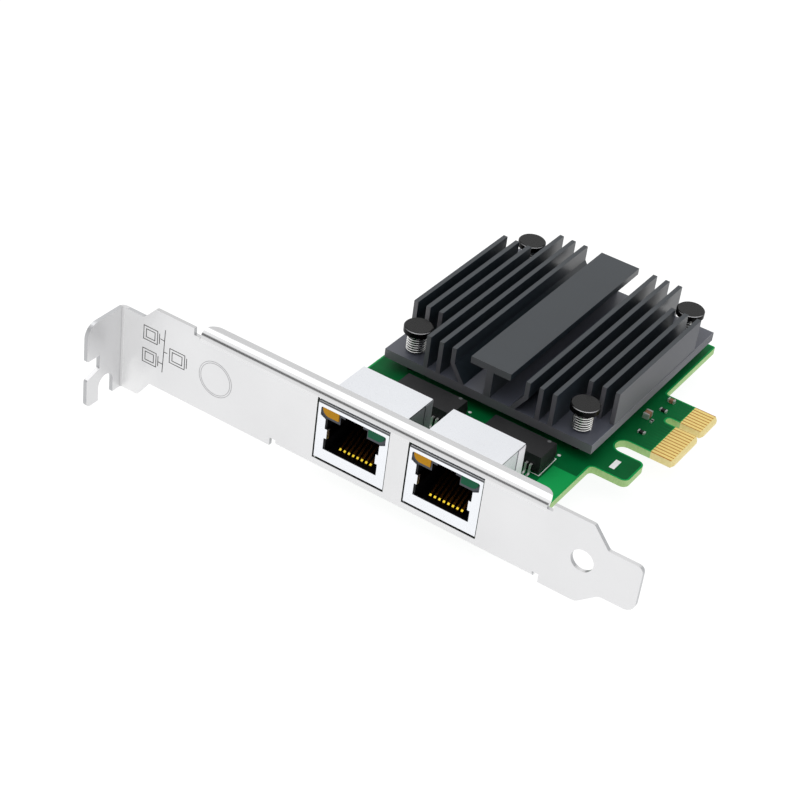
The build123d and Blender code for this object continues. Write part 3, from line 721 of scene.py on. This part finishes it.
def tube(points, radius, sides, vertices, faces):
    """Adds a closed-ended round tube along points to a mesh's lists."""
    first = len(vertices)
    count = len(points)
    for index, point in enumerate(points):
        before = points[max(index - 1, 0)]
        after = points[min(index + 1, count - 1)]
        ahead = (after - before).normalized()
        side = ahead.cross(Vector((0, 0, 1))).normalized()
        up = side.cross(ahead)
        for corner in range(sides):
            angle = 2 * math.pi * corner / sides
            vertices.append(point + (side * math.cos(angle) + up * math.sin(angle)) * radius)
    for ring in range(count - 1):
        for corner in range(sides):
            a = first + ring * sides + corner
            b = first + ring * sides + (corner + 1) % sides
            faces.append((a, b, b + sides, a + sides))
    last = first + (count - 1) * sides
    faces.append(tuple(first + corner for corner in reversed(range(sides))))
    faces.append(tuple(last + corner for corner in range(sides)))


# Coil springs, and the radius of the caps, which tells how far inside their box the pins stand
SPRING_TURNS = 8.0
SPRING_CLOSED_TURNS = 0.8
SPRING_STEPS = 40
SPRING_WIRE_RADIUS = 0.16
SPRING_MEAN_RADIUS = 1.95
SPRING_SIDES = 10
CAP_RADIUS = 3.07


def coil(x, y, bottom, top):
    """Middle line of a spring's wire between two heights in metres; its end turns lie closed."""
    wire = 2 * SPRING_WIRE_RADIUS * MM
    radius = SPRING_MEAN_RADIUS * MM
    open_turns = SPRING_TURNS - 2 * SPRING_CLOSED_TURNS
    rise = top - bottom - wire - 2 * SPRING_CLOSED_TURNS * wire
    points = []
    for step in range(round(SPRING_TURNS * SPRING_STEPS) + 1):
        turn = step / SPRING_STEPS
        angle = 2 * math.pi * turn
        opened = min(max(turn - SPRING_CLOSED_TURNS, 0), open_turns)
        height = bottom + wire / 2 + (turn - opened) * wire + rise * opened / open_turns
        points.append(Vector((x + radius * math.cos(angle), y + radius * math.sin(angle), height)))
    return points


def springs(material):
    """Round-wire coils in the place of the plain ones."""
    low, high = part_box("push_pin_springs")
    pin_low, pin_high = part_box("push_pins")
    inset = CAP_RADIUS * MM
    vertices = []
    faces = []
    for x in (pin_low.x + inset, pin_high.x - inset):
        for y in (pin_low.y + inset, pin_high.y - inset):
            points = coil(x, y, low.z, high.z)
            tube(points, SPRING_WIRE_RADIUS * MM, SPRING_SIDES, vertices, faces)
    piece = mesh_piece("coil_springs", vertices, faces, material, smooth=True)
    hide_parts("push_pin_springs")


def ribbon(path, width, place, vertices, faces, closed=False):
    """Adds a flat strip along a path; place turns each (a, b) in millimetres into a point."""
    path = [Vector(point) for point in path]
    count = len(path)
    first = len(vertices)
    runs = [(end - start).normalized() for start, end in zip(path, path[1:] + path[:1])]
    for index, point in enumerate(path):
        leaving = runs[index] if closed or index < count - 1 else runs[index - 1]
        arriving = runs[index - 1] if closed or index > 0 else leaving
        ahead = (arriving + leaving).normalized()
        side = Vector((-ahead.y, ahead.x)) * (width / 2 / ahead.dot(arriving))
        vertices.append(place(*(point + side)))
        vertices.append(place(*(point - side)))
    for index in range(count if closed else count - 1):
        a = first + 2 * index
        b = first + 2 * ((index + 1) % count)
        faces.append((a, a + 1, b + 1, b))


def patch(outline, place, vertices, faces):
    """Adds a flat face with an outline in millimetres."""
    first = len(vertices)
    vertices.extend(place(*point) for point in outline)
    faces.append(tuple(range(first, len(vertices))))


def circle(x, y, radius, sides):
    """Points of a circle in order."""
    turns = [2 * math.pi * side / sides for side in range(sides)]
    return [(x + radius * math.cos(turn), y + radius * math.sin(turn)) for turn in turns]


def rectangle(left, right, low, high):
    """Corners of a rectangle in order."""
    return [(left, low), (right, low), (right, high), (left, high)]


# Marks on the bracket's face: x and z of each small screen, the lines between them, and a double ring
FACE_MARK_OUT = 0.015
FACE_MARK_WIDTH = 0.17
SCREENS = [(6.35, 9.85, 10.35, 13.55), (6.25, 9.7, 4.85, 8.1), (13.05, 16.85, 7.6, 10.95)]
SCREEN_INSETS = (0.0, 0.65)
SCREEN_STAND = 0.5
SCREEN_STAND_LOW = 0.45
SCREEN_STAND_HIGH = 2.9
SPINE = [(11.75, 14.7), (11.35, 4.35)]
BRANCHES = [[(10.6, 12.15), (11.6, 12.05)], [(11.55, 9.4), (12.45, 9.45)], [(10.25, 6.4), (11.4, 6.35)]]
RING_CENTRE = (24.6, 9.0)
RING_RADII = (4.0, 3.6)
RING_WIDTH = 0.11
RING_SIDES = 48


def on_face(x, z):
    """Point just in front of the bracket's face."""
    return row(x, -FACE_MARK_OUT, z)


def port_pictogram(material):
    """The small picture of three linked screens."""
    vertices = []
    faces = []
    for left, right, low, high in SCREENS:
        for inset in SCREEN_INSETS:
            outline = rectangle(left + inset, right - inset, low + inset, high - inset)
            ribbon(outline, FACE_MARK_WIDTH, on_face, vertices, faces, closed=True)
        stand_x = right + SCREEN_STAND
        stand = [(stand_x, low + SCREEN_STAND_LOW), (stand_x, low + SCREEN_STAND_HIGH)]
        ribbon(stand, FACE_MARK_WIDTH, on_face, vertices, faces)
    for line in (SPINE, *BRANCHES):
        ribbon(line, FACE_MARK_WIDTH, on_face, vertices, faces)
    mesh_piece("port_pictogram", vertices, faces, material)


def plain_rings(material):
    """A plain double ring on the bracket's face."""
    vertices = []
    faces = []
    for radius in RING_RADII:
        ring = circle(*RING_CENTRE, radius, RING_SIDES)
        ribbon(ring, RING_WIDTH, on_face, vertices, faces, closed=True)
    mesh_piece("plain_rings", vertices, faces, material)


# Silkscreen on the board
BOARD_TOP = 2.8
SILK_HEIGHT = 0.04
SILK_WIDTH = 0.2
SILK_LINE = [(83.2, 24.4), (85.8, 24.4), (85.65, 31.5), (84.9, 31.5)]
SILK_DOTS = [(85.5, 32.95), (64.4, 33.06)]
SILK_DOT_RADIUS = 0.38
SILK_BAR = (94.9, 96.1, 36.4, 39.6)
DOT_SIDES = 24


def silkscreen(material):
    """A plain white line, two dots and a bar on the board."""
    def place(x, y):
        return row(x, y, BOARD_TOP + SILK_HEIGHT)

    vertices = []
    faces = []
    ribbon(SILK_LINE, SILK_WIDTH, place, vertices, faces)
    for dot in SILK_DOTS:
        patch(circle(*dot, SILK_DOT_RADIUS, DOT_SIDES), place, vertices, faces)
    patch(rectangle(*SILK_BAR), place, vertices, faces)
    mesh_piece("silkscreen", vertices, faces, material)


# Round marks of the first lead on the transformers
DIMPLES = [(63.2, 30.4), (84.1, 30.2)]
DIMPLE_RADIUS = 0.4
TRANSFORMER_TOP = 7.1


def transformer_marks(material):
    """A small grey disc on each transformer's top."""
    def place(x, y):
        return row(x, y, TRANSFORMER_TOP + SILK_HEIGHT)

    vertices = []
    faces = []
    for dimple in DIMPLES:
        patch(circle(*dimple, DIMPLE_RADIUS, DOT_SIDES), place, vertices, faces)
    mesh_piece("first_lead_marks", vertices, faces, material)


# Copper field: its inset from the board's edge, its height over the board and its end at the contacts,
# then how near points, heights and decimals count as one, and from which share of its normal a face is level
POUR_INSET = 0.4
POUR_HEIGHT = 0.02
POUR_END = 98.75
SAME_PLACE = 0.001
SAME_HEIGHT = 0.01
SAME_DECIMALS = 6
LEVEL = 0.99


def board_edge():
    """The board's outline on its upper face, in order, from the CAD node."""
    mesh = frame["nodes"]["circuit_board"].data
    top = max(vertex.co.z for vertex in mesh.vertices)

    def key(index):
        place = mesh.vertices[index].co
        return (round(place.x, SAME_DECIMALS), round(place.y, SAME_DECIMALS))

    edges = set()
    for polygon in mesh.polygons:
        if polygon.normal.z > LEVEL and abs(polygon.center.z - top) < SAME_HEIGHT * MM:
            corners = [key(index) for index in polygon.vertices]
            edges.update(zip(corners, corners[1:] + corners[:1]))
    onward = {start: end for start, end in edges if (end, start) not in edges}
    start = min(onward)
    loop = [start]
    while onward[loop[-1]] != start:
        loop.append(onward[loop[-1]])
    return [Vector(point) for point in loop]


def copper_pour(material):
    """Dark green field just inside the board's edge, up to the contacts."""
    loop = board_edge()
    count = len(loop)
    height = along("Z", BOARD_TOP + POUR_HEIGHT)
    end_x = along("X", POUR_END)
    connector_y = along("Y", CONNECTOR_FRONT - CONNECTOR_MARGIN)
    vertices = []
    for index, point in enumerate(loop):
        arriving = (point - loop[index - 1]).normalized()
        leaving = (loop[(index + 1) % count] - point).normalized()
        ahead = (arriving + leaving).normalized()
        corner = point + Vector((-ahead.y, ahead.x)) * (POUR_INSET * MM / ahead.dot(arriving))
        if corner.y > connector_y and corner.x > end_x:
            corner.x = end_x
        if not vertices or (Vector(vertices[-1][:2]) - corner).length > SAME_PLACE * MM:
            vertices.append((corner.x, corner.y, height))
    mesh_piece("copper_pour", vertices, [tuple(range(len(vertices)))], material)


def dress_nodes(materials):
    """Gives every CAD node the material of its slot."""
    for part in frame["record"]["subparts"]:
        node = frame["nodes"][part["node"]]
        node.data.materials.clear()
        node.data.materials.append(materials[part["material_slot"]])


# Floor: half its width in metres, and how it glows
FLOOR_REACH = 3.0
FLOOR_GLOW = 0.93


def floor():
    """Pale paper under the card."""
    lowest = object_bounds()[0].z
    corners = rectangle(-FLOOR_REACH, FLOOR_REACH, -FLOOR_REACH, FLOOR_REACH)
    mesh = bpy.data.meshes.new("floor")
    mesh.from_pydata([(x, y, lowest) for x, y in corners], [], [(0, 1, 2, 3)])
    plane = bpy.data.objects.new("floor", mesh)
    bpy.context.scene.collection.objects.link(plane)
    shader = Shader(
        "floor_paper",
        Roughness=0.9,
        Specular_IOR_Level=0.0,
        Emission_Strength=FLOOR_GLOW,
        Emission_Color=(1.0, 1.0, 1.0, 1.0),
    )
    shader.paint(shader.varied(shader.noise(size_mm=2.0), srgb(108, 108, 108), srgb(113, 113, 113)))
    mesh.materials.append(shader.material)
    plane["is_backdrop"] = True


# World: its levels by height behind the card and in front of it, where a dark flag hangs, and the span
# of a direction's Y in which the one turns into the other
SKY_BACK = 0.8
SKY_FRONT = 0.95
SKY_TOP = 1.05
FLAG = 0.17
BACK_SKY = [(0.0, SKY_BACK), (0.76, SKY_BACK), (0.98, SKY_TOP)]
FRONT_SKY = [(0.0, SKY_FRONT), (0.4, SKY_FRONT), (0.47, FLAG), (0.66, FLAG), (0.73, SKY_TOP)]
BACK_TO_FRONT = (0.15, -0.15)

# Lamp: its offset and size in metres, its power in watts, and the place that it looks at
LAMP_OFFSET = Vector((-0.25, 0.15, 0.75))
LAMP_SIZE = 0.7
LAMP_POWER = 1.0
LAMP_TARGET = (66, 40, 5)


def world():
    """Soft studio sky that shines from all round."""
    studio = bpy.data.worlds.new("studio")
    bpy.context.scene.world = studio
    studio.use_nodes = True
    nodes = studio.node_tree.nodes
    links = studio.node_tree.links
    split = nodes.new("ShaderNodeSeparateXYZ")
    links.new(nodes.new("ShaderNodeTexCoord").outputs["Generated"], split.inputs["Vector"])
    front = nodes.new("ShaderNodeMapRange")
    front.inputs["From Min"].default_value, front.inputs["From Max"].default_value = BACK_TO_FRONT
    links.new(split.outputs["Y"], front.inputs["Value"])
    mix = nodes.new("ShaderNodeMix")
    mix.data_type = "RGBA"
    links.new(front.outputs["Result"], mix.inputs["Factor"])
    skies = [socket for socket in mix.inputs if socket.type == "RGBA"]
    for levels, sky in zip((BACK_SKY, FRONT_SKY), skies):
        heights = nodes.new("ShaderNodeValToRGB")
        fill_ramp(heights, [(position, (level, level, level, 1.0)) for position, level in levels])
        links.new(split.outputs["Z"], heights.inputs["Fac"])
        links.new(heights.outputs["Color"], sky)
    result = [socket for socket in mix.outputs if socket.type == "RGBA"][0]
    links.new(result, nodes["Background"].inputs["Color"])


def lamp():
    """One soft lamp overhead."""
    data = bpy.data.lights.new("overhead", "AREA")
    data.shape = "SQUARE"
    data.size = LAMP_SIZE
    data.energy = LAMP_POWER
    overhead = bpy.data.objects.new("overhead", data)
    bpy.context.scene.collection.objects.link(overhead)
    overhead.location = row(*LAMP_TARGET) + LAMP_OFFSET
    overhead.rotation_euler = (-LAMP_OFFSET).to_track_quat("-Z", "Y").to_euler()


def camera():
    """Camera at the photograph's place."""
    data = bpy.data.cameras.new("camera")
    data.lens = CAMERA_LENS
    data.sensor_width = CAMERA_SENSOR
    data.sensor_fit = "HORIZONTAL"
    data.clip_start, data.clip_end = CAMERA_CLIP
    eye = bpy.data.objects.new("camera", data)
    bpy.context.scene.collection.objects.link(eye)
    turn = Matrix.Rotation(math.radians(CAMERA_AZIMUTH), 4, "Z")
    tilt = Matrix.Rotation(math.radians(90 - CAMERA_ELEVATION), 4, "X")
    roll = Matrix.Rotation(math.radians(CAMERA_ROLL), 4, "Z")
    eye.matrix_world = Matrix.Translation(row(*CAMERA_PLACE)) @ turn @ tilt @ roll
    bpy.context.scene.camera = eye


materials = make_materials()
dress_nodes(materials)
springs(materials["spring_steel"])
copper_pour(materials["copper_pour"])
silkscreen(materials["silk_white"])
transformer_marks(materials["mark_grey"])
port_pictogram(materials["mark_dark"])
plain_rings(materials["mark_pale"])
floor()
world()
lamp()
camera()
bpy.context.scene.view_settings.view_transform = "Standard"
